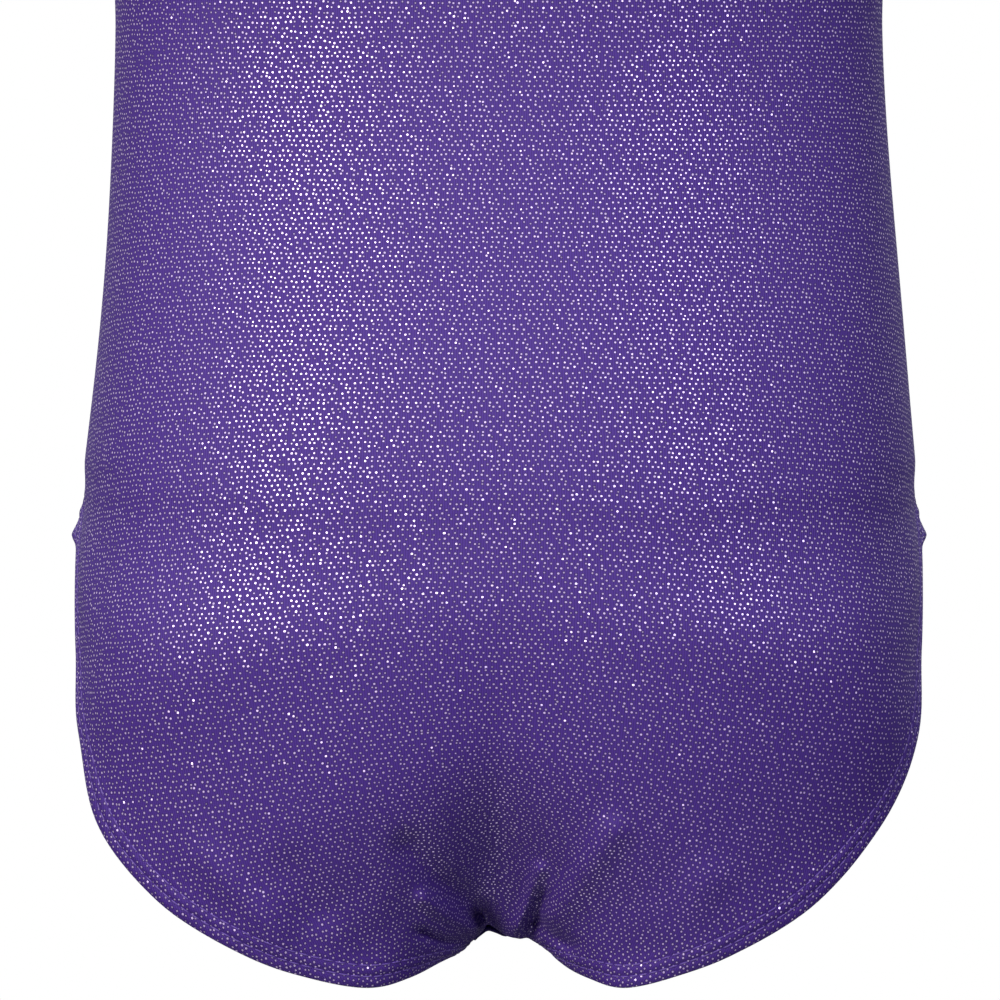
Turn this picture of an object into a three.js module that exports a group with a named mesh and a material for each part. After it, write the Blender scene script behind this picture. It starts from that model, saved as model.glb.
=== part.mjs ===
// A girl's sleeveless gymnastics leotard, shown in the shape that a body gives it.
// Millimetres. +Z is up, the wearer faces -Y and the wearer's left is +X. The origin is midway
// between the tops of the two shoulder straps, so the garment hangs below it.
//
// The cloth is two panels, front and back, joined at the sides, the shoulders and the crotch. All
// of those seams lie in the plane Y = 0. Each opening has a hem: the cloth is turned in over a
// flat elastic and held by two rows of stitches. Every hem layer is laid on the same border band.

import * as THREE from 'three';

// ---- Driving dimensions -------------------------------------------------------------------

// Heights are measured up from the lowest point of the seat's hem.
const shoulderHeight = 500; // to the neck side of a strap
const underarmHeight = 365; // to the lowest point of an armhole
const waistHeight = 275;
const legTopHeight = 129; // to the top of a leg opening, at the side seam
const hipWidth = 245; // across the tops of the leg openings
const waistWidth = 220.4;
const chestWidth = 236; // across the underarms
const seatDepth = 86; // side seam to the back of the seat
const bellyDepth = 84; // side seam to the front of the belly
const waistDepthBack = 62;
const waistDepthFront = 66;
const chestDepthBack = 72;
const chestDepthFront = 78;
const crotchWidth = 28; // across the narrowest cloth, between the leg openings
const crotchHeight = 17; // the middle of the crotch above the seat's hem
const crotchArch = 8.2; // the leg hems hang this far below the middle of the crotch

const neckWidth = 116; // between the two straps
const strapWidth = 42;
const shoulderDrop = 12; // fall of a strap's top from the neck side to its outer side
const neckDropBack = 50; // below the strap's top
const neckDropFront = 78;
const rollHeight = 100; // height over which the cloth curves in towards the shoulders
const armholeRound = 50; // height of the rounded lower part of an armhole
const shoulderFlare = 5; // growth of the body's half width over the shoulder roll

const hemWidth = 9; // border band round every opening
const hemTurnMargin = 0.8; // the turned-in cloth ends this far short of the band
const hemTurn = hemWidth - hemTurnMargin;
const elasticWidth = 7;
const edgeClearance = 0.3; // hem layers stay this far inside the cut edge
const firstStitch = 3; // stitch rows, from the edge
const secondStitch = 6.5;
const stitchWidth = 0.6;
const seamAllowance = 3; // each side of a seam
const liningClearance = 0.6; // between the lining and the crotch seam's allowance
const labelWidth = 28;
const labelHeight = 16;
const labelStart = 0.04; // share of a row that the label's top lies below the neck's band
const liningHeight = 80; // top of the crotch lining

const clothThickness = 0.8;
const elasticThickness = 0.9;
const turnThickness = 0.7;
const liningThickness = 0.5;
const allowanceThickness = 0.8;
const labelThickness = 0.3;
const stitchThickness = 0.35;
const layerGap = 0.35; // between two layers of a hem or a seam
const seamGap = 0.3; // between the front and the back panel
const seamEndShare = 0.08; // share of a row by which a side seam stops short of the hems

// ---- Mesh density -------------------------------------------------------------------------

const columns = 8; // centre line to the border, on one half
const seatRows = 13; // crotch to the tops of the leg openings
const torsoRows = 7; // leg openings to the underarms
const armholeRoundRows = 5;
const armholeRiseRows = 5;
const neckRows = 6; // centre of the neckline to a shoulder

// ---- Section of the trunk -----------------------------------------------------------------

// Power of the sine and cosine of a section; 1 is an ellipse, less is squarer.
const waistFullness = 0.93;
const hipFullness = 0.8;
const hipSeamTuck = 1; // the side seam at the hip lies this far inside the leg edge
const widthPower = 1.5; // how late the trunk widens away from the waist
const rollEase = 1.3; // length of the cloth over the shoulder roll, for each unit of height
const bandSlope = 1.1; // height of the leg's border band at the side, for each unit of width
const seatLevelShare = 0.92; // height of the fullest part, as a share of the leg opening's
const quarter = Math.PI / 2;
const neckHalf = neckWidth / 2;
const rollStart = shoulderHeight - rollHeight;
const rollLength = rollHeight * rollEase;
const rollEnd = rollStart + rollLength;
const legBandHeight = hemWidth * bandSlope;
const trunkStart = legTopHeight + legBandHeight;
const seatLevel = legTopHeight * seatLevelShare;

function mix(a, b, t) {
  return a + (b - a) * t;
}

function ease(t) {
  const held = Math.min(1, Math.max(0, t));
  return 0.5 - 0.5 * Math.cos(Math.PI * held);
}

// Half width of the trunk. It narrows to the waist and grows again to the chest.
function halfWidth(height) {
  const hipHalf = hipWidth / 2 - hipSeamTuck;
  const waistHalf = waistWidth / 2;
  if (height < waistHeight) {
    const below = (waistHeight - height) / (waistHeight - legTopHeight);
    return waistHalf + (hipHalf - waistHalf) * below ** widthPower;
  }
  const above = (height - waistHeight) / (underarmHeight - waistHeight);
  return waistHalf + (chestWidth / 2 - waistHalf) * above ** widthPower;
}

// Distance from the side seam's plane to the centre line. A face is 1 for back, -1 for front.
function centreDepth(face, height) {
  const hip = face > 0 ? seatDepth : bellyDepth;
  const waist = face > 0 ? waistDepthBack : waistDepthFront;
  const chest = face > 0 ? chestDepthBack : chestDepthFront;
  if (height < waistHeight) {
    return mix(hip, waist, ease((height - seatLevel) / (waistHeight - seatLevel)));
  }
  return mix(waist, chest, ease((height - waistHeight) / (rollStart - waistHeight)));
}

function fullnessAt(height) {
  const down = (waistHeight - height) / (waistHeight - legTopHeight);
  return mix(waistFullness, hipFullness, ease(down));
}

function strapTop(x) {
  return shoulderHeight - (shoulderDrop / strapWidth) * (x - neckHalf);
}

// The half width of the section at a level. A level is a height up to the shoulder roll, and
// a length along the cloth past it.
function levelHalfWidth(level) {
  const roll = Math.max(0, (level - rollStart) / rollLength) * quarter;
  return halfWidth(Math.min(level, rollStart)) + shoulderFlare * Math.sin(roll);
}

// A point of the trunk on the wearer's left. The angle runs from 0 at the centre line to a
// quarter turn at the side seam.
function trunkPoint(face, angle, level) {
  const roll = Math.max(0, (level - rollStart) / rollLength) * quarter;
  const height = Math.min(level, rollStart);
  const fullness = fullnessAt(height);
  const x = levelHalfWidth(level) * Math.sin(angle) ** fullness;
  const across = Math.max(0, Math.cos(angle)) ** fullness;
  const y = centreDepth(face, height) * across * Math.max(0, Math.cos(roll));
  const rise = (strapTop(x) - rollStart) * Math.sin(roll);
  return new THREE.Vector3(x, face * y, height + rise);
}

function angleAt(x, level) {
  return Math.asin(Math.min(1, (x / levelHalfWidth(level)) ** (1 / waistFullness)));
}

function levelAt(height, x) {
  if (height <= rollStart) {
    return height;
  }
  const share = Math.asin((height - rollStart) / (strapTop(x) - rollStart)) / quarter;
  return rollStart + share * rollLength;
}

// ---- Neckline and armholes, as lines on the trunk -------------------------------------------

function neckLine(face) {
  const drop = face > 0 ? neckDropBack : neckDropFront;
  const bottom = levelAt(shoulderHeight - drop, 0);
  const stations = [];
  for (let k = 0; k <= neckRows; k += 1) {
    const turn = (k / neckRows) * quarter;
    const level = mix(rollEnd, bottom, Math.cos(turn));
    const angle = angleAt(neckHalf * Math.sin(turn), level);
    stations.push({ angle, level });
  }
  return stations;
}

function armholeLine() {
  const upperAngle = angleAt(neckHalf + strapWidth, rollEnd);
  const stations = [];
  for (let k = 0; k <= armholeRoundRows; k += 1) {
    const turn = (k / armholeRoundRows) * quarter;
    stations.push({
      angle: mix(quarter, upperAngle, Math.sin(turn)),
      level: underarmHeight + armholeRound * (1 - Math.cos(turn)),
    });
  }
  for (let k = 1; k <= armholeRiseRows; k += 1) {
    const level = mix(underarmHeight + armholeRound, rollEnd, k / armholeRiseRows);
    stations.push({ angle: upperAngle, level });
  }
  return stations;
}

// The line that runs one hem width inside an edge line. The side is 1 or -1, for the side of
// the edge on which the cloth lies.
function insetLine(face, stations, side) {
  const step = 0.02; // small change of angle and level, for the slopes
  return stations.map((station, k) => {
    const { angle, level } = station;
    const before = stations[Math.max(0, k - 1)];
    const after = stations[Math.min(stations.length - 1, k + 1)];
    const here = trunkPoint(face, angle, level);
    const along = trunkPoint(face, after.angle, after.level);
    along.sub(trunkPoint(face, before.angle, before.level)).normalize();
    const inner = Math.max(0, angle - step);
    const outer = Math.min(quarter, angle + step);
    const byAngle = trunkPoint(face, outer, level).sub(trunkPoint(face, inner, level));
    byAngle.divideScalar(outer - inner);
    const low = level - step;
    const high = Math.min(rollEnd, level + step);
    const byLevel = trunkPoint(face, angle, high).sub(trunkPoint(face, angle, low));
    byLevel.divideScalar(high - low);
    const normal = byLevel.clone().cross(byAngle).multiplyScalar(face).normalize();
    const inward = normal.cross(along).multiplyScalar(side * face * hemWidth);
    const aa = byAngle.dot(byAngle);
    const al = byAngle.dot(byLevel);
    const ll = byLevel.dot(byLevel);
    const ta = inward.dot(byAngle);
    const tl = inward.dot(byLevel);
    const det = aa * ll - al * al;
    return {
      angle: angle + (ta * ll - tl * al) / det,
      level: level + (tl * aa - ta * al) / det,
      here,
    };
  });
}

// ---- Leg openings and the cloth below the trunk ---------------------------------------------

// Each row gives the leg edge, the way the cloth leaves that edge outwards, and the centre
// line beside it. The edge is [share of the way from the crotch edge out to the hip, share of
// the depth, share of the leg opening's height]; the centre is [share of depth, share of
// height]. The first row is the crotch seam and the last is the side seam.
const backRows = [
  { edge: [0, 0, 0.068], out: [0.85, 0, -0.53], centre: [0, 0.13] },
  { edge: [0.007, 0.15, 0.062], out: [0.83, -0.1, -0.55], centre: [0.163, 0.143] },
  { edge: [0.041, 0.314, 0.042], out: [0.65, -0.3, -0.7], centre: [0.36, 0.178] },
  { edge: [0.115, 0.465, 0.018], out: [0.38, -0.35, -0.86], centre: [0.535, 0.24] },
  { edge: [0.228, 0.57, 0], out: [0.12, -0.36, -0.93], centre: [0.674, 0.318] },
  { edge: [0.367, 0.628, 0.0225], out: [0.12, -0.36, -0.93], centre: [0.79, 0.41] },
  { edge: [0.532, 0.657, 0.0775], out: [0.33, -0.38, -0.86], centre: [0.872, 0.512] },
  { edge: [0.734, 0.616, 0.19], out: [0.52, -0.47, -0.71], centre: [0.93, 0.62] },
  { edge: [0.9, 0.523, 0.364], out: [0.5, -0.66, -0.56], centre: [0.971, 0.729] },
  { edge: [0.972, 0.424, 0.558], out: [0.36, -0.88, -0.3], centre: [0.994, 0.83] },
  { edge: [0.992, 0.314, 0.736], out: [0.22, -0.96, -0.18], centre: [1, 0.922] },
  { edge: [0.998, 0.174, 0.907], out: [0.1, -0.99, -0.08], centre: [0.995, 1.007] },
  { edge: [1, 0, 1], out: [0, -1, 0], centre: [0.985, 1.077] },
];
const frontRows = [
  { edge: [0, 0, 0.068], out: [0.85, 0, -0.53], centre: [0, 0.13] },
  { edge: [0.006, 0.143, 0.074], out: [0.83, 0.1, -0.55], centre: [0.155, 0.14] },
  { edge: [0.037, 0.298, 0.1], out: [0.72, 0.2, -0.66], centre: [0.333, 0.17] },
  { edge: [0.12, 0.464, 0.163], out: [0.62, 0.25, -0.74], centre: [0.5, 0.233] },
  { edge: [0.24, 0.595, 0.256], out: [0.6, 0.3, -0.74], centre: [0.643, 0.318] },
  { edge: [0.376, 0.68, 0.364], out: [0.6, 0.35, -0.72], centre: [0.75, 0.41] },
  { edge: [0.523, 0.714, 0.48], out: [0.6, 0.42, -0.68], centre: [0.833, 0.512] },
  { edge: [0.67, 0.68, 0.605], out: [0.58, 0.5, -0.64], centre: [0.893, 0.62] },
  { edge: [0.8, 0.583, 0.72], out: [0.52, 0.68, -0.5], centre: [0.94, 0.745] },
  { edge: [0.9, 0.452, 0.82], out: [0.42, 0.84, -0.32], centre: [0.976, 0.86] },
  { edge: [0.959, 0.32, 0.9], out: [0.3, 0.94, -0.15], centre: [0.994, 0.955] },
  { edge: [0.99, 0.167, 0.965], out: [0.12, 0.99, -0.05], centre: [1, 1.02] },
  { edge: [1, 0, 1], out: [0, 1, 0], centre: [1, 1.077] },
];
const seatFullness = 9; // how far the two sides of the seat stand out past its centre line
const fullnessRate = 1.1; // above 1, so that the fullness is gone before the side seam
// How far the cloth keeps its direction, as shares of its width or depth, at the crotch seam
// and at the side seam.
const centreHandle = [0.5, 0.66];
const bandHandle = [0.42, 0.66];

// Smooth lines through the rows: the leg edge, the cloth's direction there and the centre.
function seatLines(face) {
  const rows = face > 0 ? backRows : frontRows;
  const depth = face > 0 ? seatDepth : bellyDepth;
  const last = rows.length - 1;
  const edge = rows.map(({ edge: [across, deep, high] }, k) => {
    const height = k === 0 ? crotchHeight - crotchArch : high * legTopHeight;
    const x = mix(crotchWidth / 2, hipWidth / 2, across);
    return new THREE.Vector3(x, face * deep * depth, height);
  });
  const centre = rows.map(({ centre: [deep, high] }, k) => {
    if (k === last) {
      return new THREE.Vector3(0, face * centreDepth(face, trunkStart), trunkStart);
    }
    const height = k === 0 ? crotchHeight : high * legTopHeight;
    return new THREE.Vector3(0, face * deep * depth, height);
  });
  const out = rows.map((row) => new THREE.Vector3(...row.out));
  return {
    edge: new THREE.CatmullRomCurve3(edge, false, 'catmullrom'),
    out: new THREE.CatmullRomCurve3(out, false, 'catmullrom'),
    centre: new THREE.CatmullRomCurve3(centre, false, 'catmullrom'),
  };
}

// One row of the seat: the cloth from the centre line out to the border band, and the leg
// edge. The cloth leaves the centre sideways and reaches the band in the band's direction.
function seatRow(face, lines, t) {
  const edge = lines.edge.getPoint(t);
  const centre = lines.centre.getPoint(t);
  const out = lines.out.getPoint(t).normalize();
  const along = lines.edge.getTangent(t);
  const square = out.clone().addScaledVector(along, -out.dot(along)).normalize();
  const inner = edge.clone().addScaledVector(t === 0 ? out : square, -hemWidth);
  const bulge = seatFullness * Math.sin(Math.PI * Math.min(1, t * fullnessRate)) ** 2;
  const atCentre = centre.clone();
  atCentre.x += inner.x * mix(...centreHandle, t);
  atCentre.y += face > 0 ? bulge : 0;
  const reachAtCrotch = bandHandle[0] * centre.distanceTo(inner);
  const reachAtSide = bandHandle[1] * Math.abs(centre.y - inner.y);
  const reach = mix(reachAtCrotch, reachAtSide, t);
  const atBand = inner.clone().addScaledVector(out, -reach);
  const curve = new THREE.CubicBezierCurve3(centre, atCentre, atBand, inner);
  return { points: curve.getPoints(columns), edge };
}

// ---- One half of a panel --------------------------------------------------------------------

// The rows of points from crotch to shoulder, with the border band's edge points beside them.
function halfPanel(face) {
  const lines = seatLines(face);
  const rows = [];
  const legEdge = [];
  for (let k = 0; k < seatRows; k += 1) {
    const { points, edge } = seatRow(face, lines, k / seatRows);
    rows.push(points);
    legEdge.push(edge);
  }
  legEdge.push(lines.edge.getPoint(1));
  const yokeStart = underarmHeight - hemWidth;
  for (let k = 0; k < torsoRows; k += 1) {
    const level = mix(trunkStart, yokeStart, k / torsoRows);
    const points = [];
    for (let i = 0; i <= columns; i += 1) {
      points.push(trunkPoint(face, (i / columns) * quarter, level));
    }
    rows.push(points);
  }

  const neck = neckLine(face);
  const armhole = armholeLine();
  const neckInner = insetLine(face, neck, 1);
  const armholeInner = insetLine(face, armhole, -1);
  neckInner[0].angle = 0;
  neckInner[neckRows].level = rollEnd;
  neckInner[neckRows].angle = angleAt(neckHalf + hemWidth, rollEnd);
  armholeInner[0].angle = quarter;
  armholeInner[0].level = yokeStart;
  const last = armholeInner.length - 1;
  armholeInner[last].level = rollEnd;
  armholeInner[last].angle = angleAt(neckHalf + strapWidth - hemWidth, rollEnd);

  // Up to the neckline a yoke row starts at the centre line, and then at the neck's band.
  const centreRows = last - neckRows;
  const yokeRow = rows.length;
  for (let k = 0; k <= last; k += 1) {
    let start = { angle: 0, level: mix(yokeStart, neckInner[0].level, k / centreRows) };
    if (k >= centreRows) {
      start = neckInner[k - centreRows];
    }
    const end = armholeInner[k];
    const points = [];
    for (let i = 0; i <= columns; i += 1) {
      const angle = mix(start.angle, end.angle, i / columns);
      points.push(trunkPoint(face, angle, mix(start.level, end.level, i / columns)));
    }
    rows.push(points);
  }
  return {
    rows,
    yokeRow,
    neckRow: yokeRow + centreRows,
    legEdge,
    neckEdge: neckInner.map(({ here }) => here),
    armholeEdge: armholeInner.map(({ here }) => here),
  };
}

const back = halfPanel(1);
const front = halfPanel(-1);

function mirrored(point, side) {
  return new THREE.Vector3(point.x * side, point.y, point.z);
}

// ---- Thin closed solids ---------------------------------------------------------------------

// Collects the faces of a sheet. Points that lie together become one.
class Sheet {
  constructor() {
    this.points = [];
    this.faces = [];
    this.found = new Map();
  }

  index(point) {
    const key = point.toArray().map((value) => Math.round(value * 1000)).join(' ');
    if (!this.found.has(key)) {
      this.found.set(key, this.points.length);
      this.points.push(point.clone());
    }
    return this.found.get(key);
  }

  quad(a, b, c, d, flip) {
    const [i, j, k, l] = [a, b, c, d].map((point) => this.index(point));
    this.face(i, j, k, flip);
    this.face(i, k, l, flip);
  }

  face(i, j, k, flip) {
    if (i !== j && j !== k && k !== i) {
      this.faces.push(flip ? [i, k, j] : [i, j, k]);
    }
  }

  normals() {
    const sums = this.points.map(() => new THREE.Vector3());
    for (const [i, j, k] of this.faces) {
      const ab = this.points[j].clone().sub(this.points[i]);
      const ac = this.points[k].clone().sub(this.points[i]);
      const normal = ab.cross(ac);
      [i, j, k].forEach((v) => sums[v].add(normal));
    }
    // On a seam the layers stay in the seam's plane, and on the centre line they stay central.
    sums.forEach((sum, v) => {
      if (Math.abs(this.points[v].y) < seamGap) {
        sum.y = 0;
      }
      if (Math.abs(this.points[v].x) < 1e-6) {
        sum.x = 0;
      }
      sum.normalize();
    });
    return sums;
  }

  // A solid between two depths below the sheet, closed round its border.
  solid(nearDepth, farDepth) {
    const normals = this.normals();
    const count = this.points.length;
    const positions = [];
    for (const depth of [nearDepth, farDepth]) {
      this.points.forEach((point, v) => {
        positions.push(...point.clone().addScaledVector(normals[v], -depth).toArray());
      });
    }
    const faces = [];
    const edges = new Map();
    for (const [i, j, k] of this.faces) {
      faces.push(i, j, k, i + count, k + count, j + count);
      for (const [a, b] of [[i, j], [j, k], [k, i]]) {
        edges.set(`${a} ${b}`, [a, b]);
      }
    }
    for (const [a, b] of edges.values()) {
      if (!edges.has(`${b} ${a}`)) {
        faces.push(b, a, a + count, b, a + count, b + count);
      }
    }
    return geometryOf(positions, faces);
  }
}

function geometryOf(positions, faces) {
  const geometry = new THREE.BufferGeometry();
  geometry.setAttribute('position', new THREE.Float32BufferAttribute(positions, 3));
  geometry.setIndex(faces);
  geometry.computeVertexNormals();
  return geometry;
}

// Adds the grid between rows of points to a sheet, seen from outside the garment.
function addRows(sheet, rows, flip) {
  for (let j = 1; j < rows.length; j += 1) {
    for (let i = 1; i < rows[j].length; i += 1) {
      sheet.quad(rows[j - 1][i - 1], rows[j - 1][i], rows[j][i], rows[j][i - 1], flip);
    }
  }
}

// ---- Panels ---------------------------------------------------------------------------------

function panelGeometry(face, half) {
  const sheet = new Sheet();
  for (const side of [1, -1]) {
    const flip = face * side > 0;
    const place = (point) => {
      const placed = mirrored(point, side);
      if (Math.abs(placed.y) < seamGap / 2) {
        placed.y = (face * seamGap) / 2;
      }
      return placed;
    };
    const rows = half.rows.map((row) => row.map(place));
    addRows(sheet, rows, flip);
    const bandOf = (edge, firstRow, column) => edge.map((point, k) => {
      return [rows[firstRow + k][column], place(point)];
    });
    addRows(sheet, bandOf(half.legEdge, 0, columns), flip);
    addRows(sheet, bandOf(half.armholeEdge, half.yokeRow, columns), flip);
    addRows(sheet, bandOf(half.neckEdge, half.neckRow, 0), !flip);
  }
  return sheet.solid(0, clothThickness);
}

// ---- Hems -----------------------------------------------------------------------------------

// The lines that cross a border band, each from the edge to one hem width inside. Between two
// rows lies the diagonal on which the panel's faces fold, so what is laid on the band folds
// there too.
function bandLines(half, edges, firstRow, column) {
  const lines = [];
  edges.forEach((edge, k) => {
    const inner = half.rows[firstRow + k][column];
    if (k > 0) {
      lines.push([edge, half.rows[firstRow + k - 1][column]]);
    }
    lines.push([edge, inner]);
  });
  return lines;
}

// A closed loop round an opening. Back and front share their first and last lines.
function joinLoop(backPart, frontPart, side) {
  const loop = [...backPart, ...frontPart.slice(1, -1).reverse()];
  return loop.map((line) => line.map((point) => mirrored(point, side)));
}

function legBand(side) {
  const part = (half) => bandLines(half, half.legEdge, 0, columns);
  return joinLoop(part(back), part(front), side);
}

function armholeBand(side) {
  const part = (half) => bandLines(half, half.armholeEdge, half.yokeRow, columns);
  return joinLoop(part(back), part(front), side);
}

function neckBand() {
  const across = (half) => {
    const left = bandLines(half, half.neckEdge, half.neckRow, 0);
    const right = left.slice(1).map((line) => line.map((point) => mirrored(point, -1)));
    return [...right.reverse(), ...left];
  };
  return joinLoop(across(back), across(front), 1);
}

// A closed strip laid on a band, from one distance to another in from the edge, between two
// depths. A negative depth stands outside the cloth.
function stripOnBand(band, from, to, nearDepth, farDepth) {
  const rows = band.map(([edge, inner]) => {
    return [from, to].map((distance) => edge.clone().lerp(inner, distance / hemWidth));
  });
  rows.push(rows[0]);
  let outward = 0;
  for (let k = 1; k < rows.length; k += 1) {
    const along = rows[k][0].clone().sub(rows[k - 1][0]);
    const inward = rows[k][1].clone().sub(rows[k][0]);
    const { x, y } = rows[k][0];
    outward += along.cross(inward).dot(new THREE.Vector3(x, y, 0));
  }
  const sheet = new Sheet();
  addRows(sheet, rows, outward > 0);
  return sheet.solid(nearDepth, farDepth);
}

// ---- Seams, lining and label ------------------------------------------------------------------

function towards(from, to, distance) {
  return from.clone().lerp(to, distance / from.distanceTo(to));
}

// Depth of the first layer inside the panels.
const allowanceNear = clothThickness + layerGap;
const allowanceFar = allowanceNear + allowanceThickness;

// Seam allowances of one side seam, turned to the inside and overlocked together.
function sideSeamGeometry(side) {
  const sheet = new Sheet();
  const rows = [];
  for (let j = seatRows; j <= back.yokeRow; j += 1) {
    const seam = back.rows[j][columns].clone();
    if (j === seatRows) {
      seam.lerp(back.rows[j + 1][columns], seamEndShare);
    } else if (j === back.yokeRow) {
      seam.lerp(back.rows[j - 1][columns], seamEndShare);
    }
    const behind = towards(seam, back.rows[j][columns - 1], seamAllowance);
    const ahead = towards(seam, front.rows[j][columns - 1], seamAllowance);
    behind.z = seam.z;
    ahead.z = seam.z;
    rows.push([behind, seam, ahead].map((point) => mirrored(point, side)));
  }
  addRows(sheet, rows, side > 0);
  return sheet.solid(allowanceNear, allowanceFar);
}

function shoulderSeamGeometry(side) {
  const sheet = new Sheet();
  const top = back.rows.length - 1;
  const rows = [];
  for (let i = 0; i <= columns; i += 1) {
    const seam = back.rows[top][i];
    const behind = towards(seam, back.rows[top - 1][i], seamAllowance);
    const ahead = towards(seam, front.rows[top - 1][i], seamAllowance);
    rows.push([behind, seam, ahead].map((point) => mirrored(point, side)));
  }
  addRows(sheet, rows, side < 0);
  return sheet.solid(allowanceNear, allowanceFar);
}

function crotchSeamGeometry() {
  const sheet = new Sheet();
  for (const side of [1, -1]) {
    const rows = [];
    for (let i = 0; i <= columns; i += 1) {
      const seam = back.rows[0][i];
      const behind = towards(seam, back.rows[1][i], seamAllowance);
      const ahead = towards(seam, front.rows[1][i], seamAllowance);
      rows.push([behind, seam, ahead].map((point) => mirrored(point, side)));
    }
    addRows(sheet, rows, side > 0);
  }
  return sheet.solid(allowanceNear, allowanceFar);
}

// The lining starts just in front of the crotch seam's allowance.
function liningGeometry() {
  const sheet = new Sheet();
  for (const side of [1, -1]) {
    const first = front.rows[0].map((point, i) => {
      return towards(point, front.rows[1][i], seamAllowance + liningClearance);
    });
    const rows = front.rows.slice(1, seatRows).filter((row) => row[0].z < liningHeight);
    const placed = [first, ...rows].map((row) => row.map((point) => mirrored(point, side)));
    addRows(sheet, placed, side < 0);
  }
  return sheet.solid(allowanceNear, allowanceNear + liningThickness);
}

// The label hangs inside the back, from just under the neck's hem.
function labelGeometry() {
  const sheet = new Sheet();
  const upper = back.rows[back.neckRow];
  const lower = back.rows[back.neckRow - 1];
  const share = labelHeight / upper[0].distanceTo(lower[0]);
  for (const side of [1, -1]) {
    const rows = [labelStart, labelStart + share].map((down) => {
      const middle = upper[0].clone().lerp(lower[0], down);
      const beside = upper[1].clone().lerp(lower[1], down);
      const corner = towards(middle, beside, labelWidth / 2);
      return [mirrored(middle, side), mirrored(corner, side)];
    });
    addRows(sheet, rows, side < 0);
  }
  return sheet.solid(allowanceNear, allowanceNear + labelThickness);
}

// ---- Assembly -----------------------------------------------------------------------------------

function finish(colour, roughness, metalness) {
  return () => new THREE.MeshStandardMaterial({ color: colour, roughness, metalness });
}

const foilTricot = finish(0x4f3a8e, 0.5, 0.15);
const liningKnit = finish(0x37295f, 0.85, 0);
const elasticBand = finish(0xe9e6ec, 0.8, 0);
const thread = finish(0x6a57ad, 0.6, 0);
const satin = finish(0xf1eff2, 0.5, 0);

const garment = new THREE.Group();
garment.position.z = -shoulderHeight;

function add(name, geometry, material) {
  const mesh = new THREE.Mesh(geometry, material());
  mesh.name = name;
  garment.add(mesh);
}

add('back_panel', panelGeometry(1, back), foilTricot);
add('front_panel', panelGeometry(-1, front), foilTricot);
add('crotch_lining', liningGeometry(), liningKnit);
add('crotch_seam', crotchSeamGeometry(), thread);
for (const [name, side] of [['left', 1], ['right', -1]]) {
  add(`${name}_side_seam`, sideSeamGeometry(side), thread);
  add(`${name}_shoulder_seam`, shoulderSeamGeometry(side), thread);
}
add('neck_label', labelGeometry(), satin);

const elasticNear = clothThickness + layerGap;
const elasticFar = elasticNear + elasticThickness;
const turnNear = elasticFar + layerGap;
const turnFar = turnNear + turnThickness;
const openings = [
  ['left_leg', legBand(1)],
  ['right_leg', legBand(-1)],
  ['left_armhole', armholeBand(1)],
  ['right_armhole', armholeBand(-1)],
  ['neck', neckBand()],
];
for (const [name, band] of openings) {
  const elasticEnd = edgeClearance + elasticWidth;
  add(`${name}_hem`, stripOnBand(band, edgeClearance, hemTurn, turnNear, turnFar), foilTricot);
  add(`${name}_elastic`, stripOnBand(band, edgeClearance, elasticEnd, elasticNear, elasticFar), elasticBand);
  for (const [row, distance] of [['outer', firstStitch], ['inner', secondStitch]]) {
    const from = distance - stitchWidth / 2;
    const strip = stripOnBand(band, from, from + stitchWidth, -layerGap - stitchThickness, -layerGap);
    add(`${name}_stitch_${row}`, strip, thread);
  }
}

const group = new THREE.Group();
group.add(garment);

export default group;
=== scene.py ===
import math

import bmesh
import bpy
import numpy as np
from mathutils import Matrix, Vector


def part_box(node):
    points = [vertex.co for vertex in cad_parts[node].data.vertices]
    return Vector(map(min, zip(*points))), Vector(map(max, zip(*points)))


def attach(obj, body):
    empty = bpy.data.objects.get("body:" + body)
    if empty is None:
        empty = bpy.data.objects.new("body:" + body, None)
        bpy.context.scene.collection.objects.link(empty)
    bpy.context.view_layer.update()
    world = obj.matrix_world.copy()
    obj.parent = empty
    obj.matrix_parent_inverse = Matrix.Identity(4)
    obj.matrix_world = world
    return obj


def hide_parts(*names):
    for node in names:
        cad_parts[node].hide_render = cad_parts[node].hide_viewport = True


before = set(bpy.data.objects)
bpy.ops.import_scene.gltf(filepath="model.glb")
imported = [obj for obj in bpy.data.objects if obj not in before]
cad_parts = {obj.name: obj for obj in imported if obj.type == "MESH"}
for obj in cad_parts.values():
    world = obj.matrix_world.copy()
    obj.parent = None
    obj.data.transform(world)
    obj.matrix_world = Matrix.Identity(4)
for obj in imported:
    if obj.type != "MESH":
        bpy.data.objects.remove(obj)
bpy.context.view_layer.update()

# ---- Camera ----------------------------------------------------------------------------------
# Level and straight behind the wearer, on the lower half of the garment, with a long lens.
MM = 0.001
back_low, back_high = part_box("back_panel")
HEM = back_low[2]
VIEW_WIDTH = 287.5 * MM
CAMERA_AWAY = 3.0
CAMERA_ABOVE_HEM = 137.5 * MM

camera_data = bpy.data.cameras.new("studio_camera")
camera_data.sensor_width = 36
camera_data.lens = camera_data.sensor_width * CAMERA_AWAY / VIEW_WIDTH
camera_data.clip_start = 0.1
camera_data.clip_end = 50
camera = bpy.data.objects.new("studio_camera", camera_data)
camera.location = (-0.0004, CAMERA_AWAY, HEM + CAMERA_ABOVE_HEM)
camera.rotation_euler = (math.radians(90), 0, math.radians(180))
bpy.context.collection.objects.link(camera)
bpy.context.scene.camera = camera
bpy.context.scene.view_settings.view_transform = "Standard"


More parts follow.
